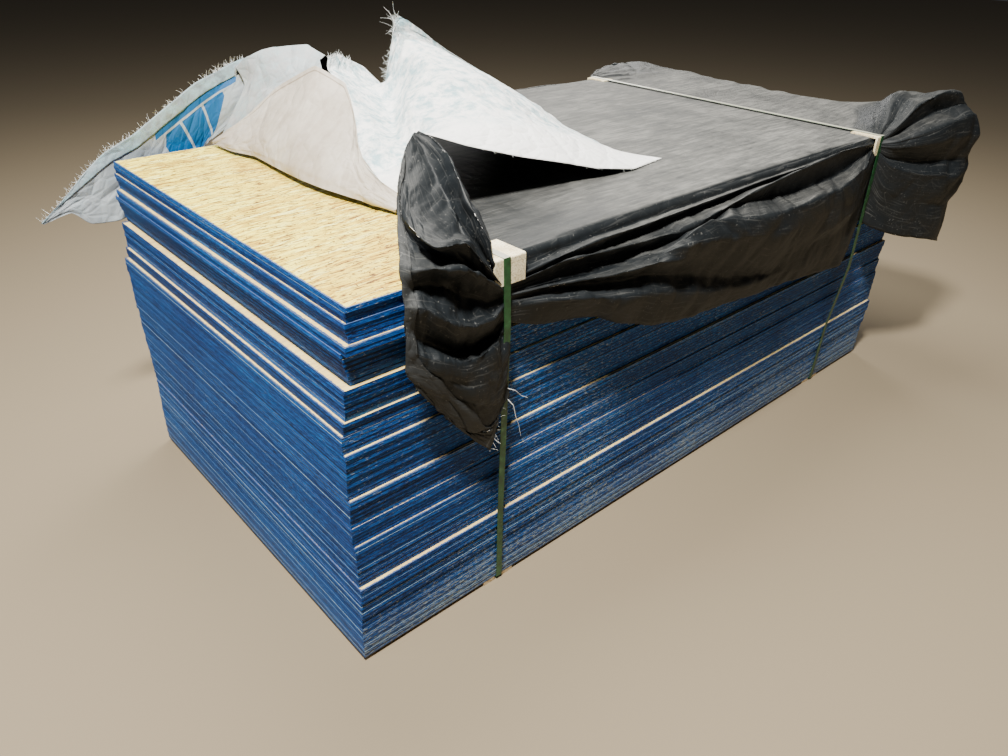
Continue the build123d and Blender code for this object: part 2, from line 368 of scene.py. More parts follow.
def level_boxes(mesh):
    """The two opposite corners of each board's level faces, by their level."""
    boards = {}
    for polygon in mesh.polygons:
        for corner in polygon.vertices:
            boards.setdefault(level_of(polygon), []).append(mesh.vertices[corner].co[:2])
    del boards[None]
    return {level: (np.min(places, axis=0), np.max(places, axis=0)) for level, places in boards.items()}


def shoved_levels(boxes):
    """The heights of the bare faces, where the board above has moved in by more than a jog."""
    levels = sorted(boxes)
    bare = {levels[0], levels[-1]}
    for lower, upper in zip(levels, levels[1:]):
        moved = max(np.abs(boxes[upper][side] - boxes[lower][side]).max() for side in (0, 1))
        if moved > least_shove:
            bare.update((lower, upper))
    return bare


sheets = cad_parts["osb_sheets"].data
sheet_boxes = level_boxes(sheets)
bare_levels = shoved_levels(sheet_boxes)
dress("osb_sheets", board_face_material(), board_edge_material())
own_corner = sheets.uv_layers.new(name="own_corner")
for polygon in sheets.polygons:
    level = level_of(polygon)
    if level not in bare_levels:
        polygon.material_index = 1
    if level is not None:
        for loop in polygon.loop_indices:
            corner = sheets.vertices[sheets.loops[loop].vertex_index].co.xy
            own_corner.data[loop].uv = corner - Vector(sheet_boxes[level][0])

# The laths
# Four rough-sawn softwood strips, laid loose across the floor before the stack went down. Each strap runs
# between the two of its pair, which keep the lowest sheet off the ground.


def lath_material():
    """Rough-sawn softwood with its grain along the lath."""
    made, shader = new_material("rough_sawn_lath", Roughness=0.75)
    grain = clouds(stretched(given(shader, "TexCoord", "Object"), (160.0, 6.0, 160.0)), 1.0, 5.0)
    wood = shades(grain, (0.3, (0.30, 0.19, 0.09)), (0.5, (0.55, 0.40, 0.22)), (0.72, (0.74, 0.60, 0.38)))
    surface(shader, wood, grain, 0.0008, 0.6)
    return made


lath_wood = lath_material()
for strap_name in ("left", "right"):
    for place_name in ("outer", "inner"):
        dress(f"lath_{strap_name}_{place_name}", lath_wood)

# The corner protectors
# Angles of laminated recycled fibre board, scored and bent over the top edges on the wrap. Only the tight
# straps hold them.


def fibre_material():
    """Pressed fibres with flecks and stains."""
    made, shader = new_material("fibre_board", Roughness=0.8)
    place = given(shader, "TexCoord", "Object")
    flecks = clouds(place, 230.0, 4.0, 0.7)
    pulp = shades(
        flecks, (0.30, (0.30, 0.22, 0.12)), (0.42, (0.74, 0.64, 0.42)),
        (0.56, (0.95, 0.88, 0.66)), (0.75, (1.00, 0.97, 0.84)))
    stains = shades(clouds(place, 22.0, 3.0), (0.35, (0.82, 0.76, 0.64)), (0.62, (1.05, 1.04, 1.0)))
    surface(shader, mixed(1.0, pulp, stains, "MULTIPLY"), flecks, 0.0006, 0.7)
    return made


fibre_board = fibre_material()
for strap_name in ("left", "right"):
    for side_name in ("near", "far"):
        dress(f"protector_{strap_name}_{side_name}", fibre_board)

# The straps
# Two bands of green polyester, embossed with small diamonds, tensioned round the whole bundle over the
# protectors and welded end to end.
diamond_turns = 1250.0
paler_above = 0.966


def strap_material():
    """Scuffed green band, paler where it lies on the top."""
    made, shader = new_material("polyester_strap", Roughness=0.38)
    place = given(shader, "TexCoord", "Object")
    x, y, z = parts(place)
    run = y + z
    emboss = maths("SINE", (run + x) * diamond_turns) * maths("SINE", (run - x) * diamond_turns)
    green = shades(
        clouds(place, 60.0, 5.0), (0.35, (0.006, 0.045, 0.014)), (0.60, (0.014, 0.088, 0.026)),
        (0.78, (0.08, 0.20, 0.09)))
    surface(shader, mixed((z > paler_above) * 0.80, green, (0.52, 0.50, 0.42)), emboss, 0.0002, 0.5)
    return made


strap_green = strap_material()
for strap_name in ("left", "right"):
    dress(f"strap_{strap_name}", strap_green)

# The lumber wrap between the straps
# Woven polypropylene tape, coated black outside and white inside. It lies on the top, rolls over the long
# edges and hangs there in slack folds, which all run into the gathers the straps pinch.
strap_tops = (-0.815, 0.849)
cover_rise = 0.959
cloth_thickness = 0.0007
top_clear = 0.9565
side_clear = 0.6342
end_clear = 1.2535
corner_room = 0.03
edge_drop = 0.004
edge_swell = 0.003
shut_height = 0.93
tape_turns = 1800.0
fold_seed = 7

# The near long side's fold lines, from the top edge down to the hem. Each runs from strap to strap.
roll_crest = [
    (-0.813, -0.622, 0.955), (-0.55, -0.624, 0.964), (0.0, -0.625, 0.966), (0.55, -0.624, 0.965),
    (0.847, -0.622, 0.958)]
near_folds = [
    [(-0.81, -0.639, 0.915), (-0.743, -0.638, 0.925), (-0.64, -0.637, 0.933), (-0.48, -0.636, 0.94),
     (-0.22, -0.636, 0.94), (0.12, -0.636, 0.944), (0.39, -0.636, 0.946), (0.72, -0.637, 0.948),
     (0.849, -0.638, 0.945)],
    [(-0.81, -0.641, 0.907), (-0.69, -0.652, 0.925), (-0.53, -0.655, 0.938), (-0.39, -0.658, 0.938),
     (-0.2, -0.66, 0.944), (0.0, -0.658, 0.947), (0.15, -0.652, 0.948), (0.37, -0.645, 0.944),
     (0.7, -0.643, 0.945), (0.849, -0.641, 0.942)],
    [(-0.81, -0.639, 0.9), (-0.63, -0.638, 0.9), (-0.49, -0.637, 0.907), (-0.27, -0.637, 0.918),
     (-0.12, -0.637, 0.92), (0.05, -0.638, 0.924), (0.39, -0.64, 0.938), (0.7, -0.64, 0.942),
     (0.849, -0.64, 0.939)],
    [(-0.81, -0.642, 0.893), (-0.65, -0.665, 0.922), (-0.54, -0.668, 0.912), (-0.4, -0.673, 0.904),
     (-0.27, -0.678, 0.9), (-0.15, -0.685, 0.914), (0.04, -0.683, 0.94), (0.31, -0.672, 0.955),
     (0.58, -0.655, 0.96), (0.79, -0.647, 0.947), (0.849, -0.642, 0.936)],
    [(-0.81, -0.639, 0.886), (-0.63, -0.643, 0.887), (-0.47, -0.643, 0.874), (-0.31, -0.65, 0.864),
     (-0.17, -0.678, 0.885), (-0.05, -0.678, 0.918), (0.17, -0.655, 0.898), (0.4, -0.648, 0.875),
     (0.65, -0.642, 0.883), (0.8, -0.638, 0.915), (0.849, -0.638, 0.932)],
    [(-0.81, -0.641, 0.881), (-0.61, -0.648, 0.872), (-0.48, -0.652, 0.863), (-0.35, -0.68, 0.868),
     (-0.29, -0.702, 0.891), (-0.18, -0.712, 0.925), (-0.1, -0.718, 0.909), (0.09, -0.725, 0.876),
     (0.26, -0.722, 0.872), (0.53, -0.705, 0.867), (0.72, -0.68, 0.89), (0.8, -0.65, 0.925)],
    [(-0.81, -0.64, 0.877), (-0.62, -0.655, 0.866), (-0.48, -0.664, 0.857), (-0.35, -0.69, 0.862),
     (-0.3, -0.717, 0.88), (-0.16, -0.736, 0.871), (0.01, -0.738, 0.837), (0.21, -0.728, 0.802),
     (0.4, -0.716, 0.795), (0.64, -0.695, 0.805), (0.78, -0.665, 0.85), (0.85, -0.646, 0.905)],
    [(-0.81, -0.642, 0.873), (-0.68, -0.668, 0.873), (-0.53, -0.69, 0.858), (-0.38, -0.705, 0.853),
     (-0.33, -0.71, 0.852), (-0.23, -0.708, 0.827), (-0.09, -0.7, 0.785), (0.17, -0.692, 0.7),
     (0.25, -0.706, 0.735), (0.44, -0.703, 0.732), (0.68, -0.688, 0.75), (0.79, -0.66, 0.795),
     (0.853, -0.645, 0.86)],
    [(-0.81, -0.64, 0.862), (-0.65, -0.652, 0.851), (-0.49, -0.665, 0.822), (-0.34, -0.672, 0.808),
     (-0.17, -0.678, 0.757), (0.01, -0.678, 0.7), (0.21, -0.68, 0.66), (0.41, -0.69, 0.69),
     (0.67, -0.678, 0.695), (0.8, -0.655, 0.725), (0.856, -0.642, 0.8)],
    [(-0.81, -0.641, 0.845), (-0.7, -0.672, 0.841), (-0.59, -0.692, 0.819), (-0.47, -0.702, 0.792),
     (-0.32, -0.702, 0.756), (-0.16, -0.698, 0.709), (0.0, -0.692, 0.667), (0.24, -0.682, 0.637),
     (0.5, -0.678, 0.608), (0.76, -0.668, 0.608), (0.858, -0.643, 0.72)],
    [(-0.81, -0.637, 0.808), (-0.69, -0.645, 0.768), (-0.54, -0.655, 0.739), (-0.44, -0.668, 0.7),
     (-0.35, -0.676, 0.662), (-0.21, -0.676, 0.628), (-0.02, -0.672, 0.609), (0.19, -0.668, 0.589),
     (0.48, -0.663, 0.563), (0.765, -0.657, 0.532), (0.86, -0.639, 0.66)],
]


def smooth(points, steps, tight=0.0):
    """A curve through the points, with this many steps from each to the next, and creased there if tight."""
    points = np.asarray(points, dtype=float)
    chords = np.diff(points, axis=0)
    spans = np.sqrt(np.linalg.norm(chords, axis=1, keepdims=True)) + 1e-6
    slopes = chords / spans
    inner = slopes[:-1] + slopes[1:] - (points[2:] - points[:-2]) / (spans[:-1] + spans[1:])
    tangents = np.concatenate([slopes[:1], inner, slopes[-1:]]) * (1.0 - tight)
    t = np.linspace(0.0, 1.0, steps, endpoint=False)[None, :, None]
    start, end = points[:-1, None], points[1:, None]
    leave, arrive = (tangents[:-1] * spans)[:, None], (tangents[1:] * spans)[:, None]
    curve = (
        start * (2 * t ** 3 - 3 * t ** 2 + 1) + end * (3 * t ** 2 - 2 * t ** 3)
        + leave * (t ** 3 - 2 * t ** 2 + t) + arrive * (t ** 3 - t ** 2)
    )
    return np.concatenate([curve.reshape(-1, points.shape[1]), points[-1:]])


def net(lines, along, across, tight=0.0, kinked=0.0):
    """A grid of points over fold lines: this many columns along them, and steps from each to the next."""
    columns = []
    for line in lines:
        curve = smooth(line, 16, kinked)
        run = np.concatenate([[0.0], np.cumsum(np.linalg.norm(np.diff(curve, axis=0), axis=1))])
        places = np.linspace(0.0, run[-1], along)
        columns.append(np.stack([np.interp(places, run, curve[:, axis]) for axis in range(3)], axis=1))
    return np.array([smooth(section, across, tight) for section in np.swapaxes(np.array(columns), 0, 1)])


def ramp(values, start, length):
    """Nought before the start, one past this length from it, and straight between."""
    return np.clip((values - start) / length, 0.0, 1.0)


def outward_normals(grid):
    """The cloth's unit normal at each point of the grid."""
    normal = np.cross(np.gradient(grid, axis=0), np.gradient(grid, axis=1))
    return normal / (np.linalg.norm(normal, axis=2, keepdims=True) + 1e-12)


def grid_lengths(grid):
    """The two distances in metres from the grid's first corner, measured along the cloth."""
    along = np.linalg.norm(np.diff(grid, axis=0), axis=2).mean(axis=1)
    across = np.linalg.norm(np.diff(grid, axis=1), axis=2).mean(axis=0)
    return np.concatenate([[0.0], np.cumsum(along)]), np.concatenate([[0.0], np.cumsum(across)])


def crumple(grid, slack, *grades):
    """Pushes the cloth in and out in creased facets where it is slack, by grades of (size, height, seed)."""
    for size, height, seed in grades:
        along, across = grid_lengths(grid)
        push = np.zeros(grid.shape[:2])
        for i, u in enumerate(along):
            for j, v in enumerate(across):
                place = Vector((u / size + seed, v / size - seed, seed * 0.37))
                bent = place + noise.noise_vector(place * 0.7) * 0.55
                near = noise.voronoi(bent)[0]
                push[i, j] = min(near[1] - near[0], 0.55) - 0.25
        grid = grid + outward_normals(grid) * (push * slack * height)[:, :, None]
    return grid


def pleated(grid, away, reach, each, height, where=1.0):
    """Small pleats of this many rows, which run out of a gather and die away at this distance from it."""
    rows = np.arange(grid.shape[1])
    saw = (np.abs(rows / each % 2.0 - 1.0) - 0.5) * (0.65 + 0.35 * np.sin(rows * 0.83))
    fade = ramp(away, 0.0, 0.05) * np.clip(1.0 - away / reach, 0.0, 1.0) * where
    return grid + outward_normals(grid) * (saw[None, :] * fade * height)[:, :, None]


def clear_of_boards(grid):
    """Keeps the cloth just off the stack's top and sides."""
    x, y, z = (grid[:, :, axis].copy() for axis in range(3))
    beside = z < top_clear - edge_drop
    over = ~beside & (np.abs(y) < side_clear) & (x < end_clear)
    z = np.where(over, np.maximum(z, top_clear + edge_swell * ramp(np.abs(y), 0.54, 0.05)), z)
    near_side = beside & (np.abs(y) > side_clear - corner_room) & (x < end_clear)
    y = np.where(near_side, np.sign(y) * np.maximum(np.abs(y), side_clear), y)
    x = np.where(beside & ~near_side, np.maximum(x, end_clear), x)
    return np.stack([x, y, z], axis=2)


def new_object(name, points, faces, *materials):
    """A mesh object of these points and faces, in the scene."""
    mesh = bpy.data.meshes.new(name)
    mesh.from_pydata(points, [], faces)
    for material in materials:
        mesh.materials.append(material)
    made = bpy.data.objects.new(name, mesh)
    bpy.context.collection.objects.link(made)
    return made


def lay(name, grid, outside, inside):
    """A sheet with a thin body on the grid's points, its outside on the side the normals face."""
    columns, rows = grid.shape[:2]
    faces = [
        (i * rows + j, (i + 1) * rows + j, (i + 1) * rows + j + 1, i * rows + j + 1)
        for i in range(columns - 1) for j in range(rows - 1)
    ]
    grid = clear_of_boards(grid)
    made = new_object(name, grid.reshape(-1, 3).tolist(), faces, outside, inside)
    along, across = grid_lengths(grid)
    flat = made.data.uv_layers.new(name="cloth")
    for loop in made.data.loops:
        flat.data[loop.index].uv = (along[loop.vertex_index // rows], across[loop.vertex_index % rows])
    made.data.polygons.foreach_set("use_smooth", [True] * len(made.data.polygons))
    bpy.ops.object.select_all(action="DESELECT")
    bpy.context.view_layer.objects.active = made
    made.select_set(True)
    body = made.modifiers.new("body", "SOLIDIFY")
    body.thickness = cloth_thickness
    body.offset = 0.0
    body.material_offset = 1
    bpy.ops.object.modifier_apply(modifier="body")
    return made


def mirrored(line):
    """A fold line of the near long side, taken to the far one."""
    return [(x, -y, z) for x, y, z in line]


def face_outwards(piece, outward, most_turned=0.15, upward=0.2, shut_above=10.0):
    """Gives the outer colour to inner slivers that a crease has turned out, and to all above a height."""
    for polygon in piece.data.polygons:
        side = Vector(outward(polygon.center)).normalized()
        turned_out = polygon.normal.dot(side) > most_turned or polygon.normal.z > upward
        if polygon.material_index == 1 and (turned_out or polygon.center.z > shut_above):
            polygon.material_index = 0


def off_the_stack(centre):
    """The direction away from the stack at a point of the cover's top or sides."""
    return (0.0, max(-1.0, min(1.0, centre.y / 0.60)) if abs(centre.y) > 0.60 else 0.0, 0.5)


def greys(factor, *stops):
    """The grey of a ramp, from its stops as (position, grey)."""
    return shades(factor, *((position, (grey, grey, grey)) for position, grey in stops))


def weathering_group():
    """Creases, weave, dust and scratches of used wrap from its flat coordinates in metres."""
    tree, (flat, place), gives = new_group(
        "weathering", {"Vector": "Vector", "Place": "Vector"},
        {"Height": "Float", "Patches": "Float", "Scratches": "Float", "Creases": "Float"})
    warp = clouds(flat, 5.0, output="Color")
    nearly = vector_maths("MULTIPLY_ADD", {0: warp, 1: (0.035, 0.035, 0.035), 2: flat})
    broad, fine = cells(nearly, 9.0), cells(nearly, 27.0)
    folds = least(broad, 0.16) + least(fine, 0.20) * 0.30
    x, y, _ = parts(flat)
    tapes = maths("SINE", x * tape_turns) * maths("SINE", y * tape_turns)
    feed(gives["Height"], folds + tapes * 0.006)
    feed(gives["Patches"], clouds(place, 6.0, 5.0, 0.68))
    coarse = greys(broad, (0.0, 1.0), (0.007, 0.5), (0.016, 0.0))
    light = greys(fine, (0.0, 0.6), (0.020, 0.3), (0.042, 0.0))
    gate = greys(clouds(place, 19.0), (0.47, 0.0), (0.62, 1.0))
    feed(gives["Creases"], gate * most(coarse, light))
    first, second = (
        most(clouds(stretched(nearly, size, turn), 1.0, 1.0) - 0.62, 0.0) * 6.0
        for turn, size in ((0.5, (7.0, 190.0, 1.0)), (-0.9, (9.0, 240.0, 1.0))))
    feed(gives["Scratches"], least(most(first, second), 1.0))
    return tree


def weathered(shader):
    """The wrap's weathering at the surface: its height, patches, scratches and creases."""
    made = add_node(shader.id_data, "Group", {
        "Vector": given(shader, "TexCoord", "UV"), "Place": given(shader, "TexCoord", "Object")},
        node_tree=weathering)
    return [Signal(output) for output in made.outputs]


def growing(value, start, slope):
    """Nought up to the start, and then growing to one at this slope."""
    return most(least((value - start) * slope, 1.0), 0.0)


def black_side(name, least_dust):
    """The cloth's outer side: black tapes under at least this much dust, which is thickest where level, and
    thinned towards the left end as a painted shadow of the thrown-back flap.
    """
    made, shader = new_material(name, Roughness=0.6, Specular_IOR_Level=0.26)
    height, patches, scratches, creases = weathered(shader)
    place = given(shader, "TexCoord", "Object")
    x, y, z = parts(place)
    _, _, steepness = parts(given(shader, "NewGeometry", "Normal"))
    level = greys(steepness, (0.30, 0.04), (0.80, 0.08), (0.94, 0.42), (1.0, 1.0))
    # Painted shadow: less dust, so darker cloth, towards the left end, standing for the shadow the
    # thrown-back flap casts there.
    inward = greys(x + 1.0, (0.15, 0.22), (0.42, 0.36), (0.80, 1.0))
    streaky = greys(
        clouds(stretched(place, (9.0, 70.0, 70.0), 0.12), 1.0, 4.0, 0.7), (0.36, 0.45), (0.62, 1.0))
    patchy = greys(patches, (0.30, 0.42), (0.66, 1.0))
    bunched = growing(x, 0.85, 7.0) * growing(abs(y), 0.44, 7.0)
    below_top = 1.0 - growing(z, 0.91, 22.0)
    settled = level * inward * (patchy * streaky) * (1.0 - most(bunched * 0.55, below_top * 0.45))
    lined = scratches * patchy * 0.36 + creases * 0.13
    crumbs = greys(clouds(place, 150.0, 1.0), (0.68, 0.0), (0.75, 0.40))
    dust = least(most(settled, crumbs) + least_dust + lined, 1.0)
    feed(shader.inputs["Roughness"], greys(dust, (0.0, 0.54), (0.6, 0.85)))
    surface(shader, mixed(dust, (0.0075, 0.0100, 0.0125), (0.185, 0.183, 0.173)), height, 0.012, 0.55)
    return made


def white_side(name, clean, stained, show_through):
    """The cloth's inner side, with stains and the print's blue showing through in this measure."""
    made, shader = new_material(name, Roughness=0.55, Specular_IOR_Level=0.35)
    height, patches, _, creases = weathered(shader)
    dirt = shades(patches, (0.36, clean), (0.74, stained))
    blots = clouds(given(shader, "TexCoord", "Object"), 30.0, 5.0, 0.70)
    shown = greys(blots, (0.42, 0.0), (0.62, 1.0)) * show_through
    tinted = mixed(shown, mixed(creases * 0.30, dirt, (0.42, 0.38, 0.33)), (0.30, 0.48, 0.53))
    surface(shader, tinted, height, 0.024, 0.7)
    return made, shader, tinted


# Blender takes the seed of its vector noise from the clock unless one is set
noise.seed_set(fold_seed)
weathering = weathering_group()
wrap_black = black_side("wrap_black", 0.0)
wrap_white = white_side("wrap_white", (0.94, 0.94, 0.93), (0.80, 0.74, 0.66), 0.0)[0]
left_top, right_top = strap_tops
top_lines = [
    [(x, y, cover_rise + rise * share) for x, share in (
        (left_top, 0.0), (left_top / 2, 1.0), (0.0, 0.5), (right_top / 2, 1.0), (right_top, 0.0))]
    for y, rise in ((-0.52, 0.003), (-0.30, 0.006), (0.0, 0.003), (0.30, 0.007), (0.52, 0.003))
]
near_lines = [roll_crest] + near_folds
cover_lines = near_lines[::-1] + top_lines + [mirrored(line) for line in near_lines]
cover_grid = net(cover_lines, along=230, across=6, tight=0.50, kinked=0.70)
from_straps = np.min([np.abs(cover_grid[:, :, 0] - x) for x in strap_tops], axis=0)
pinched = ramp(from_straps, 0.03, 0.12)
hanging = np.clip((0.955 - cover_grid[:, :, 2]) / 0.05, 0.0, 1.0)
cover_grid = pleated(cover_grid, from_straps, reach=0.42, each=4.3, height=0.007, where=hanging)
cover_grid = crumple(cover_grid, pinched * (0.22 + 0.78 * hanging), (0.16, 0.021, 3.0))
cover_grid = crumple(cover_grid, pinched * (0.3 + 0.7 * hanging), (0.055, 0.005, 5.0))
cover = lay("wrap_cover", cover_grid, wrap_black, wrap_white)
face_outwards(cover, off_the_stack, shut_above=shut_height)
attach(cover, "root")
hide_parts("lumber_wrap")

# The left wing of the wrap
# Past the left strap the near side was slit. It fans out of the gather in deep creases, leans back over the
# top edge, and its cut edge is turned over along the left and at the tail.
wing_gather = (strap_tops[0], -0.64, 0.885)
hem_share = 0.085
tail_share = 0.80
wing_folds = [
    [(-0.812, -0.64, 0.888), (-0.832, -0.625, 0.95), (-0.82, -0.6, 0.985), (-0.8, -0.53, 1.03),
     (-0.782, -0.46, 1.07), (-0.775, -0.39, 1.105), (-0.796, -0.335, 1.135)],
    [(-0.812, -0.646, 0.892), (-0.852, -0.65, 0.964), (-0.859, -0.645, 1.008), (-0.866, -0.615, 1.053),
     (-0.866, -0.58, 1.079), (-0.842, -0.525, 1.107), (-0.806, -0.44, 1.138), (-0.802, -0.38, 1.158),
     (-0.816, -0.352, 1.164)],
    [(-0.814, -0.64, 0.888), (-0.852, -0.625, 0.956), (-0.873, -0.58, 1.004), (-0.857, -0.525, 1.037),
     (-0.839, -0.45, 1.082), (-0.826, -0.39, 1.121), (-0.826, -0.35, 1.163)],
    [(-0.816, -0.646, 0.892), (-0.887, -0.665, 0.972), (-0.92, -0.655, 1.034), (-0.977, -0.65, 1.046),
     (-0.995, -0.6, 1.055), (-0.96, -0.52, 1.075), (-0.915, -0.44, 1.097), (-0.871, -0.375, 1.137)],
    [(-0.816, -0.646, 0.892), (-0.892, -0.667, 0.969), (-0.938, -0.668, 1.031), (-0.985, -0.677, 1.039),
     (-1.022, -0.675, 1.046), (-1.024, -0.625, 1.052), (-0.989, -0.52, 1.058), (-0.945, -0.45, 1.083)],
    [(-0.814, -0.64, 0.883), (-0.866, -0.635, 0.934), (-0.92, -0.628, 0.971), (-0.971, -0.622, 0.998),
     (-1.004, -0.605, 1.012), (-1.024, -0.56, 1.026)],
    [(-0.816, -0.648, 0.887), (-0.881, -0.667, 0.935), (-0.924, -0.678, 0.97), (-0.975, -0.683, 0.992),
     (-1.021, -0.677, 1.003), (-1.053, -0.655, 1.002), (-1.066, -0.625, 1.0)],
    [(-0.814, -0.638, 0.874), (-0.854, -0.637, 0.872), (-0.905, -0.636, 0.894), (-0.952, -0.636, 0.925),
     (-1.009, -0.638, 0.954), (-1.074, -0.64, 0.962)],
    [(-0.816, -0.646, 0.857), (-0.864, -0.667, 0.846), (-0.938, -0.688, 0.857), (-1.007, -0.692, 0.895),
     (-1.048, -0.677, 0.93), (-1.078, -0.65, 0.93)],
    [(-0.809, -0.638, 0.809), (-0.839, -0.637, 0.781), (-0.899, -0.637, 0.765), (-0.957, -0.638, 0.787),
     (-1.017, -0.643, 0.826), (-1.08, -0.65, 0.879)],
    [(-0.81, -0.644, 0.778), (-0.855, -0.66, 0.776), (-0.91, -0.675, 0.775), (-0.968, -0.681, 0.784),
     (-1.035, -0.675, 0.813), (-1.084, -0.655, 0.845)],
    [(-0.804, -0.648, 0.741), (-0.83, -0.66, 0.691), (-0.887, -0.677, 0.694), (-0.95, -0.682, 0.711),
     (-1.016, -0.675, 0.76), (-1.086, -0.656, 0.795)],
    [(-0.803, -0.648, 0.689), (-0.823, -0.658, 0.635), (-0.876, -0.668, 0.627), (-0.936, -0.67, 0.661),
     (-1.0, -0.666, 0.698), (-1.059, -0.656, 0.739)],
    [(-0.801, -0.646, 0.624), (-0.823, -0.652, 0.586), (-0.855, -0.657, 0.566), (-0.882, -0.658, 0.559),
     (-0.926, -0.657, 0.579), (-0.982, -0.652, 0.633)],
    [(-0.815, -0.644, 0.599), (-0.829, -0.649, 0.579), (-0.841, -0.652, 0.543), (-0.849, -0.652, 0.513),
     (-0.858, -0.65, 0.49)],
]


def overlay(grid, first, last, steps, lift):
    """A turned-over hem: the cloth between two columns of each row, laid on the rest this far out."""
    raised = grid + outward_normals(grid) * lift
    rows = np.arange(grid.shape[1])
    picked = []
    for share in np.linspace(0.0, 1.0, steps):
        column = first + (last - first) * share
        low = np.clip(column.astype(int), 0, grid.shape[0] - 2)
        part = (column - low)[:, None]
        picked.append(raised[low, rows] * (1.0 - part) + raised[low + 1, rows] * part)
    return np.array(picked)


wing_grid = net(wing_folds, along=120, across=8, tight=0.75, kinked=0.70)
from_gather = np.linalg.norm(wing_grid - np.array(wing_gather), axis=2)
loose = ramp(from_gather, 0.03, 0.10)
wing_grid = pleated(wing_grid, from_gather, reach=0.34, each=4.7, height=0.011)
wing_grid = crumple(wing_grid, loose, (0.085, 0.016, 11.0), (0.030, 0.0035, 12.0))
wing_columns, wing_rows = wing_grid.shape[:2]
hem_width = hem_share + tail_share * ramp(np.linspace(0.0, 1.0, wing_rows), 0.72, 0.28) ** 1.3
hem_start, hem_end = (wing_columns - 1) * (1.0 - hem_width), np.full(wing_rows, wing_columns - 1.0)
hem_grid = overlay(wing_grid, hem_start, hem_end, steps=26, lift=0.004)
wing = lay("wrap_left_wing", wing_grid, wrap_black, wrap_white)
wing_hem = lay("wrap_wing_hem", hem_grid[:, 24:], black_side("wrap_dusty_hem", 0.10), wrap_white)
for piece, size in ((wing, (0.42, 0.62)), (wing_hem, (0.07, 0.62))):
    face_outwards(piece, lambda centre: (-0.3, -1.0, 0.3))
    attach(piece, "root")

# The wrap round the right end
# Past the right strap the sheet is folded round the end like a parcel. The spare cloth swells out of each
# gather in a dark bunch, and the hem hangs between them. The far half is taken as the near one mirrored.
top_level = 0.965
far_rise = 0.16
end_folds = [
    [(0.849, -0.02, 0.959), (0.858, -0.012, 0.959), (0.86, 0.0, 0.959)],
    [(0.849, -0.35, 0.959), (0.93, -0.33, 0.961), (1.03, -0.2, 0.962), (1.07, 0.0, 0.96)],
    [(0.849, -0.54, 0.959), (0.93, -0.52, 0.967), (1.08, -0.44, 0.976), (1.19, -0.3, 0.967),
     (1.225, 0.0, 0.96)],
    [(0.849, -0.622, 0.958), (0.88, -0.595, 0.988), (0.96, -0.555, 1.02), (1.1, -0.52, 1.028),
     (1.22, -0.44, 0.995), (1.268, -0.3, 0.966), (1.268, 0.0, 0.959)],
    [(0.849, -0.636, 0.95), (0.87, -0.635, 1.005), (0.958, -0.6, 1.078), (1.068, -0.598, 1.078),
     (1.2, -0.58, 1.045), (1.3, -0.46, 0.985), (1.3, -0.3, 0.945), (1.295, 0.0, 0.93)],
    [(0.849, -0.637, 0.947), (0.88, -0.655, 0.998), (0.97, -0.65, 1.062), (1.08, -0.655, 1.072),
     (1.22, -0.64, 1.04), (1.33, -0.5, 0.96), (1.32, -0.3, 0.915), (1.31, 0.0, 0.9)],
    [(0.849, -0.64, 0.944), (0.88, -0.68, 0.99), (0.96, -0.706, 1.06), (1.06, -0.728, 1.092),
     (1.18, -0.738, 1.076), (1.28, -0.705, 1.035), (1.35, -0.58, 0.955), (1.345, -0.3, 0.88),
     (1.33, 0.0, 0.87)],
    [(0.849, -0.638, 0.94), (0.87, -0.662, 0.957), (0.95, -0.682, 0.985), (1.06, -0.706, 1.018),
     (1.18, -0.742, 1.04), (1.29, -0.74, 1.01), (1.37, -0.6, 0.93), (1.35, -0.3, 0.855), (1.34, 0.0, 0.84)],
    [(0.849, -0.642, 0.935), (0.88, -0.695, 0.948), (0.99, -0.752, 0.98), (1.12, -0.785, 1.008),
     (1.24, -0.785, 1.008), (1.32, -0.75, 0.975), (1.38, -0.6, 0.905), (1.365, -0.3, 0.83),
     (1.345, 0.0, 0.81)],
    [(0.849, -0.641, 0.93), (0.88, -0.69, 0.925), (1.0, -0.758, 0.935), (1.16, -0.798, 0.945),
     (1.31, -0.792, 0.93), (1.39, -0.64, 0.88), (1.37, -0.3, 0.79), (1.35, 0.0, 0.78)],
    [(0.849, -0.638, 0.925), (0.88, -0.665, 0.895), (1.0, -0.718, 0.872), (1.17, -0.768, 0.86),
     (1.32, -0.782, 0.85), (1.385, -0.62, 0.82), (1.35, -0.3, 0.75), (1.34, 0.0, 0.74)],
    [(0.85, -0.641, 0.915), (0.89, -0.692, 0.862), (1.01, -0.757, 0.828), (1.17, -0.798, 0.805),
     (1.32, -0.788, 0.795), (1.38, -0.6, 0.77), (1.345, -0.25, 0.7), (1.345, 0.0, 0.7)],
    [(0.853, -0.64, 0.86), (0.9, -0.675, 0.78), (1.01, -0.735, 0.735), (1.17, -0.78, 0.7),
     (1.31, -0.765, 0.69), (1.365, -0.58, 0.66), (1.33, -0.25, 0.63), (1.33, 0.0, 0.63)],
    [(0.86, -0.637, 0.67), (0.9, -0.665, 0.645), (1.0, -0.715, 0.605), (1.17, -0.775, 0.565),
     (1.31, -0.77, 0.525), (1.35, -0.6, 0.535), (1.32, -0.25, 0.545), (1.305, 0.0, 0.54)],
]


def whole(line):
    """A fold line round the end: its near half, then the same mirrored, where the far bunch rises less."""
    far_half = [(x, -y, min(z, top_level + far_rise * (z - top_level))) for x, y, z in reversed(line[:-1])]
    return line + far_half


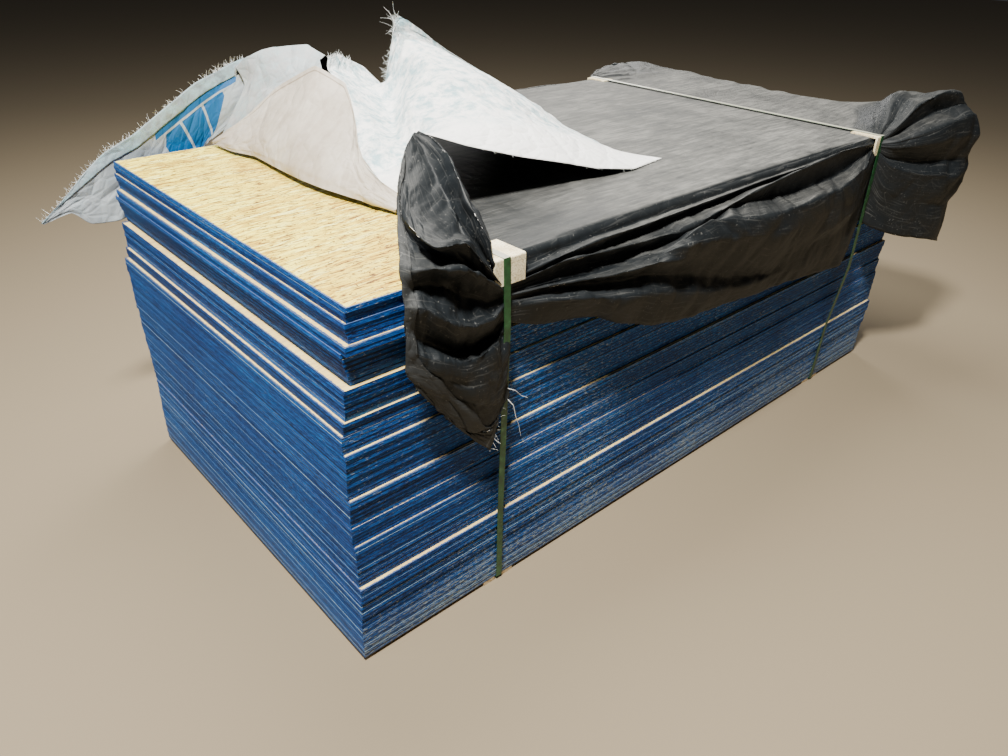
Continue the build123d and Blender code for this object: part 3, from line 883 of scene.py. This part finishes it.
end_lines = [whole(line) for line in reversed(end_folds)]
end_grid = net(end_lines, along=200, across=8, tight=0.6, kinked=0.35)
end_x, end_y, end_z = np.moveaxis(end_grid, 2, 0)
slack = np.clip((0.975 - end_z) / 0.03, 0.0, 1.0) * ramp(end_x, 1.18, 0.08)
slack = np.maximum(slack, ramp(np.abs(end_y), 0.46, 0.12))
loose = ramp(end_x - right_top, 0.02, 0.10) * (0.15 + 0.85 * slack)
end_grid = pleated(end_grid, end_x - right_top, reach=0.32, each=4.3, height=0.012, where=slack)
end_grid = crumple(end_grid, loose, (0.14, 0.020, 21.0), (0.045, 0.005, 22.0))
end = lay("wrap_right_end", end_grid, wrap_black, wrap_white)
face_outwards(end, lambda centre: (centre.x - 1.0, centre.y, centre.z - 0.4), shut_above=shut_height)
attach(end, "root")

# The thrown-back end of the wrap
# The cut left end is folded back over the top, white side up. A taut panel leans over the bare boards to a
# crest, a tall triangle with a torn hem falls away to the right of it, and a flap hangs past the far edge.
panel_hem = [
    (-0.907, 0.579, 0.963), (-0.904, 0.455, 0.966), (-0.879, 0.357, 0.968), (-0.889, 0.199, 0.97),
    (-0.895, 0.068, 0.972), (-0.888, -0.032, 0.972), (-0.879, -0.086, 0.972), (-0.868, -0.131, 0.97),
    (-0.859, -0.169, 0.969), (-0.854, -0.204, 0.967), (-0.841, -0.237, 0.965), (-0.833, -0.275, 0.963)]
panel_crest = [
    (-0.905, 0.577, 0.966), (-0.87, 0.546, 1.0), (-0.81, 0.507, 1.05), (-0.739, 0.452, 1.125),
    (-0.675, 0.329, 1.195), (-0.656, 0.205, 1.165), (-0.676, 0.148, 1.13), (-0.722, 0.056, 1.095),
    (-0.776, -0.037, 1.065), (-0.795, -0.084, 1.045), (-0.816, -0.19, 1.015), (-0.8, -0.267, 0.99)]
top_folds = [
    [(-0.8, -0.267, 0.985), (-0.79, -0.33, 1.02), (-0.81, -0.345, 1.1), (-0.815, -0.352, 1.16),
     (-0.69, -0.365, 1.116), (-0.525, -0.375, 1.065), (-0.386, -0.385, 1.029), (-0.265, -0.39, 0.995),
     (-0.11, -0.394, 0.967), (0.054, -0.364, 0.963)],
    [(-0.816, -0.19, 1.012), (-0.77, -0.2, 1.03), (-0.74, -0.21, 1.06), (-0.7, -0.215, 1.1),
     (-0.62, -0.22, 1.125), (-0.48, -0.235, 1.115), (-0.33, -0.245, 1.075), (-0.18, -0.25, 1.03),
     (-0.06, -0.252, 0.99), (0.007, -0.253, 0.965)],
    [(-0.805, -0.12, 1.032), (-0.765, -0.115, 1.015), (-0.725, -0.125, 1.022), (-0.69, -0.13, 1.04),
     (-0.61, -0.12, 1.11), (-0.46, -0.13, 1.14), (-0.31, -0.13, 1.1), (-0.17, -0.13, 1.045),
     (-0.04, -0.13, 0.995), (0.03, -0.13, 0.965)],
    [(-0.795, -0.084, 1.043), (-0.76, -0.06, 1.048), (-0.715, -0.085, 1.052), (-0.67, -0.09, 1.055),
     (-0.6, -0.06, 1.11), (-0.45, -0.06, 1.15), (-0.3, -0.06, 1.13), (-0.15, -0.06, 1.06),
     (-0.03, -0.06, 1.0), (0.047, -0.058, 0.965)],
    [(-0.776, -0.037, 1.063), (-0.72, -0.03, 1.07), (-0.68, -0.035, 1.06), (-0.645, -0.02, 1.062),
     (-0.575, 0.02, 1.13), (-0.45, 0.03, 1.185), (-0.3, 0.04, 1.165), (-0.13, 0.05, 1.09),
     (0.0, 0.06, 1.02), (0.1, 0.08, 0.966)],
    [(-0.722, 0.056, 1.093), (-0.67, 0.06, 1.095), (-0.62, 0.07, 1.075), (-0.575, 0.1, 1.07),
     (-0.52, 0.12, 1.13), (-0.42, 0.13, 1.2), (-0.27, 0.14, 1.18), (-0.1, 0.15, 1.1), (0.04, 0.16, 1.03),
     (0.14, 0.185, 0.967)],
    [(-0.676, 0.148, 1.128), (-0.64, 0.16, 1.12), (-0.58, 0.18, 1.095), (-0.51, 0.2, 1.08),
     (-0.47, 0.21, 1.12), (-0.4, 0.22, 1.22), (-0.25, 0.25, 1.2), (-0.08, 0.28, 1.12), (0.05, 0.31, 1.05),
     (0.157, 0.36, 0.998)],
    [(-0.656, 0.205, 1.162), (-0.62, 0.23, 1.145), (-0.55, 0.26, 1.115), (-0.47, 0.27, 1.088),
     (-0.44, 0.275, 1.13), (-0.385, 0.3, 1.245), (-0.27, 0.34, 1.225), (-0.15, 0.37, 1.165),
     (-0.03, 0.385, 1.11), (0.054, 0.38, 1.07)],
    [(-0.66, 0.262, 1.178), (-0.61, 0.31, 1.165), (-0.53, 0.35, 1.135), (-0.44, 0.31, 1.092),
     (-0.425, 0.31, 1.14), (-0.38, 0.335, 1.26), (-0.31, 0.36, 1.255), (-0.24, 0.375, 1.23),
     (-0.19, 0.38, 1.205), (-0.15, 0.385, 1.183)],
    [(-0.64, 0.32, 1.19), (-0.59, 0.38, 1.175), (-0.5, 0.42, 1.14), (-0.42, 0.345, 1.1),
     (-0.405, 0.34, 1.18), (-0.385, 0.35, 1.27), (-0.365, 0.355, 1.285), (-0.345, 0.36, 1.29),
     (-0.33, 0.362, 1.29), (-0.315, 0.365, 1.28)],
    [(-0.604, 0.375, 1.203), (-0.519, 0.45, 1.193), (-0.41, 0.495, 1.145), (-0.4, 0.4, 1.1),
     (-0.421, 0.345, 1.161), (-0.395, 0.35, 1.239), (-0.385, 0.355, 1.27), (-0.378, 0.358, 1.285),
     (-0.372, 0.36, 1.296), (-0.358, 0.36, 1.303)],
]
ridge_folds = [
    [(-0.88, 0.562, 0.986), (-0.845, 0.544, 1.006), (-0.8, 0.514, 1.046), (-0.757, 0.48, 1.095),
     (-0.715, 0.42, 1.133), (-0.685, 0.37, 1.163), (-0.664, 0.34, 1.182), (-0.65, 0.335, 1.186)],
    [(-0.785, 0.565, 1.12), (-0.765, 0.54, 1.15), (-0.74, 0.52, 1.162), (-0.71, 0.5, 1.168),
     (-0.68, 0.48, 1.172), (-0.65, 0.46, 1.18), (-0.625, 0.44, 1.19), (-0.605, 0.42, 1.194)],
    [(-0.79, 0.6, 1.165), (-0.766, 0.565, 1.197), (-0.723, 0.56, 1.21), (-0.686, 0.555, 1.218),
     (-0.645, 0.54, 1.221), (-0.598, 0.5, 1.226), (-0.587, 0.47, 1.212), (-0.582, 0.43, 1.2)],
    [(-0.8, 0.625, 1.08), (-0.76, 0.618, 1.09), (-0.71, 0.615, 1.095), (-0.66, 0.61, 1.09),
     (-0.61, 0.6, 1.08), (-0.55, 0.58, 1.07), (-0.49, 0.55, 1.06), (-0.44, 0.51, 1.06)],
    [(-0.82, 0.622, 0.972), (-0.77, 0.62, 0.966), (-0.71, 0.618, 0.964), (-0.65, 0.612, 0.963),
     (-0.59, 0.6, 0.963), (-0.53, 0.585, 0.963), (-0.46, 0.56, 0.963), (-0.4, 0.53, 0.963)],
]
far_flap_folds = [
    [(-0.753, 0.61, 1.187), (-0.757, 0.6, 1.165), (-0.762, 0.585, 1.13), (-0.76, 0.565, 1.09),
     (-0.765, 0.555, 1.07), (-0.8, 0.575, 1.03)],
    [(-0.8, 0.62, 1.172), (-0.795, 0.61, 1.145), (-0.81, 0.605, 1.11), (-0.83, 0.6, 1.06),
     (-0.85, 0.61, 1.01), (-0.886, 0.63, 0.962)],
    [(-0.838, 0.63, 1.153), (-0.835, 0.622, 1.128), (-0.845, 0.62, 1.09), (-0.87, 0.625, 1.03),
     (-0.885, 0.632, 0.985), (-0.905, 0.638, 0.945)],
    [(-0.897, 0.645, 1.128), (-0.893, 0.64, 1.1), (-0.9, 0.64, 1.06), (-0.915, 0.64, 1.0),
     (-0.93, 0.642, 0.94), (-0.955, 0.643, 0.88)],
    [(-1.006, 0.65, 1.064), (-0.998, 0.646, 1.04), (-1.0, 0.646, 1.0), (-1.01, 0.647, 0.95),
     (-1.02, 0.645, 0.89), (-1.04, 0.645, 0.83)],
    [(-1.108, 0.652, 1.004), (-1.1, 0.649, 0.98), (-1.1, 0.65, 0.95), (-1.11, 0.652, 0.9),
     (-1.13, 0.65, 0.84), (-1.15, 0.648, 0.78)],
    [(-1.193, 0.655, 0.966), (-1.185, 0.652, 0.945), (-1.18, 0.653, 0.92), (-1.18, 0.654, 0.87),
     (-1.19, 0.652, 0.82), (-1.2, 0.65, 0.768)],
    [(-1.258, 0.655, 0.92), (-1.25, 0.653, 0.902), (-1.25, 0.653, 0.885), (-1.255, 0.653, 0.85),
     (-1.265, 0.652, 0.82), (-1.275, 0.65, 0.775)],
    [(-1.32, 0.655, 0.865), (-1.315, 0.654, 0.852), (-1.315, 0.654, 0.845), (-1.315, 0.654, 0.835),
     (-1.315, 0.653, 0.825), (-1.318, 0.652, 0.815)],
    [(-1.4, 0.655, 0.802), (-1.399, 0.655, 0.801), (-1.398, 0.655, 0.8), (-1.397, 0.655, 0.799),
     (-1.396, 0.655, 0.798), (-1.395, 0.655, 0.797)],
]


def calm_edges(grid):
    """How slack the cloth is at each point: none along its first and last fold line."""
    columns, rows = grid.shape[:2]
    inward = np.minimum(np.arange(rows), np.arange(rows)[::-1]) / (0.12 * rows)
    return np.tile(np.clip(inward, 0.0, 1.0), (columns, 1))


def band_mask(value, low, high):
    """One where the value lies between two others, and nought elsewhere."""
    return (value > low) * (value < high)


def printed_inside():
    """White by the near cut edge, and mottled blue beyond, where the outer print shows through."""
    made, shader, tinted = white_side("wrap_show_through", (0.97, 0.97, 0.96), (0.88, 0.88, 0.86), 0.95)
    flat = given(shader, "TexCoord", "UV")
    depth = parts(flat)[1] + clouds(flat, 11.0) * 0.12
    mottled = clamped((depth - 0.20) * 9.0, 0.0, 1.0)
    feed(shader.inputs["Base Color"], mixed(mottled, (0.95, 0.95, 0.94), tinted))
    return made


def printed_flap():
    """The flap's plain print: a blue stripe under the hem, and a blue block cut by white lines."""
    made, shader, tinted = white_side("wrap_printed", (0.37, 0.41, 0.44), (0.24, 0.27, 0.30), 0.10)
    down, along, _ = parts(given(shader, "TexCoord", "UV"))
    back = 0.75 - along
    stripe = band_mask(down, 0.024, 0.046) * band_mask(back, 0.08, 0.38)
    block = band_mask(down, 0.052, 0.170) * band_mask(back, 0.12, 0.34)
    uncut = maths("FRACT", (down + back * 1.4) * 9.0) > 0.10
    feed(shader.inputs["Base Color"], mixed(most(stripe, block * uncut), tinted, (0.0, 0.09, 0.26)))
    return made


def panel_side(crest):
    """The leaning panel's white, darkened to a warm grey by soiling and by painted shade, with the stitched
    seam's brown line just under its crest.
    """
    # The warm grey base is partly soiling and partly painted shade on the white cloth.
    made, shader, tinted = white_side("wrap_panel", (0.55, 0.50, 0.43), (0.35, 0.29, 0.23), 0.0)
    seam = band_mask(parts(given(shader, "TexCoord", "UV"))[1], crest - 0.0105, crest - 0.0075)
    feed(shader.inputs["Base Color"], mixed(seam * 0.65, tinted, (0.20, 0.15, 0.10)))
    return made


def between(first, second, share, out):
    """A fold line at this share of the way from one to another, pushed out to the bare boards' side."""
    first, second = np.array(first), np.array(second)
    width = np.linalg.norm(second - first, axis=1, keepdims=True)
    push = np.array([-0.75, -0.20, 0.62]) * out * ramp(width, 0.0, 0.2)
    return first + (second - first) * share + push


panel_bulges = ((0.08, 0.012), (0.30, 0.020), (0.65, 0.012), (0.92, 0.002))
panel_rows = [between(panel_hem, panel_crest, share, out) for share, out in panel_bulges]
panel_lines = [panel_hem] + panel_rows + [panel_crest]
panel_grid = net(panel_lines, along=150, across=12, tight=0.35, kinked=0.75)
panel_grid = crumple(panel_grid, calm_edges(panel_grid), (0.17, 0.015, 31.0), (0.05, 0.0035, 32.0))
top_grid = net(top_folds, along=170, across=10, tight=0.6, kinked=0.7)
top_grid = crumple(top_grid, calm_edges(top_grid), (0.15, 0.010, 33.0), (0.045, 0.0022, 34.0))
ridge_grid = net(ridge_folds, along=70, across=12, tight=0.6, kinked=0.8)
ridge_grid = crumple(ridge_grid, 1.0, (0.09, 0.006, 35.0))
flap_grid = net(far_flap_folds[::-1], along=60, across=14, tight=0.3, kinked=0.3)
flap_grid = crumple(flap_grid, 1.0, (0.10, 0.008, 41.0))
hem_rows = flap_grid.shape[1]
flap_hem_grid = overlay(flap_grid, np.zeros(hem_rows), np.full(hem_rows, 9.0), steps=10, lift=0.003)
panel = lay("wrap_folded_panel", panel_grid, panel_side(grid_lengths(panel_grid)[1][-1]), wrap_black)
triangle = lay("wrap_thrown_back_end", top_grid, printed_inside(), wrap_black)
# Painted shade: the folded ridge is the same white inner side, greyed to stand for the shade it lies in.
wrap_shaded_grey = white_side("wrap_painted_shade_grey", (0.46, 0.48, 0.49), (0.27, 0.28, 0.29), 0.35)[0]
ridge = lay("wrap_folded_ridge", ridge_grid, wrap_shaded_grey, wrap_black)
flap = lay("wrap_far_flap", flap_grid, printed_flap(), wrap_black)
wrap_hem_blue = white_side("wrap_hem_blue", (0.27, 0.33, 0.37), (0.14, 0.18, 0.21), 0.60)[0]
flap_hem = lay("wrap_flap_hem", flap_hem_grid, wrap_hem_blue, wrap_black)
for piece in (panel, triangle, ridge):
    face_outwards(piece, lambda centre: (-0.55, -0.40, 0.75), most_turned=0.30, upward=2.0)
for piece, size in (
        (panel, (0.26, 0.88)), (triangle, (0.95, 0.9)), (ridge, (0.33, 0.42)), (flap, (0.17, 0.75)),
        (flap_hem, (0.03, 0.75))):
    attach(piece, "root")

# The frayed edges of the wrap
# Where the tapes were cut across, their loose ends stand off the edge as short pale threads.
thread_radius = 0.0005
loose_radius = 0.0011
loose_threads = [
    [(-0.806, -0.652, 0.642), (-0.788, -0.657, 0.632), (-0.77, -0.661, 0.612), (-0.752, -0.663, 0.6)],
    [(-0.806, -0.652, 0.612), (-0.794, -0.658, 0.594), (-0.788, -0.662, 0.56), (-0.776, -0.66, 0.532),
     (-0.77, -0.662, 0.498)],
]


def fringe(edge, count, reach, away, seed):
    """Threads off an edge: this many, up to this long, leaning this way and curled, each of five points."""
    draw = random.Random(seed)
    tubes = []
    for _ in range(count):
        place = draw.random() * (len(edge) - 1.001)
        low = int(place)
        root = Vector(edge[low]) + (Vector(edge[low + 1]) - Vector(edge[low])) * (place - low)
        lean = Vector(away) + Vector([draw.uniform(-0.7, 0.7) for _ in range(3)])
        curl = Vector([draw.uniform(-1.0, 1.0) for _ in range(3)])
        length = reach * draw.uniform(0.3, 1.0)
        tubes.append([
            root + lean.normalized() * (length * t) + curl * (length * 0.45 * t * t)
            for t in (0.0, 0.25, 0.5, 0.75, 1.0)])
    return tubes


def thread_mesh(name, tubes, material, thickest):
    """One mesh of thin three-sided tubes along the threads."""
    points, faces = [], []
    for tube in tubes:
        first, last_step = len(points), len(tube) - 1
        for step, middle in enumerate(tube):
            radius = thickest * (1.0 - 0.6 * step / last_step)
            run = (tube[min(step + 1, last_step)] - tube[max(step - 1, 0)]).normalized()
            side = run.orthogonal().normalized()
            other = run.cross(side)
            for corner in range(3):
                turn = corner * 2 * pi / 3
                points.append(tuple(middle + (side * cos(turn) + other * sin(turn)) * radius))
        for step in range(last_step):
            for corner in range(3):
                a, b = first + step * 3 + corner, first + step * 3 + (corner + 1) % 3
                faces.append((a, b, b + 3, a + 3))
        faces += [(first + 2, first + 1, first), tuple(first + 3 * last_step + corner for corner in range(3))]
    return new_object(name, points, faces, material)


thread_white = new_material("loose_thread", Roughness=0.6, Base_Color=(0.80, 0.82, 0.80, 1.0))[0]
apex = top_grid[90:170, -1]
threads = []
for edge, count, reach, away, seed in (
        (flap_grid[0], 190, 0.016, (-0.3, 0.1, 0.9), 51),
        (top_grid[0:50, -1], 70, 0.014, (0.1, 0.2, 0.9), 52),
        (apex, 60, 0.022, (-0.8, -0.2, 0.3), 53),
        (apex[-14:], 16, 0.060, (-0.5, -0.2, 0.6), 54),
        (wing_grid[:, -1], 26, 0.018, (0.4, -0.2, -0.5), 55),
        (top_grid[60:, 0], 24, 0.008, (0.2, -0.6, -0.2), 56)):
    threads += fringe(edge, count, reach, away, seed)
frayed = thread_mesh("wrap_frayed_threads", threads, thread_white, thread_radius)
loose_ends = thread_mesh(
    "wrap_loose_threads", [[Vector(point) for point in thread] for thread in loose_threads],
    thread_white, loose_radius)
for piece in (frayed, loose_ends):
    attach(piece, "root")
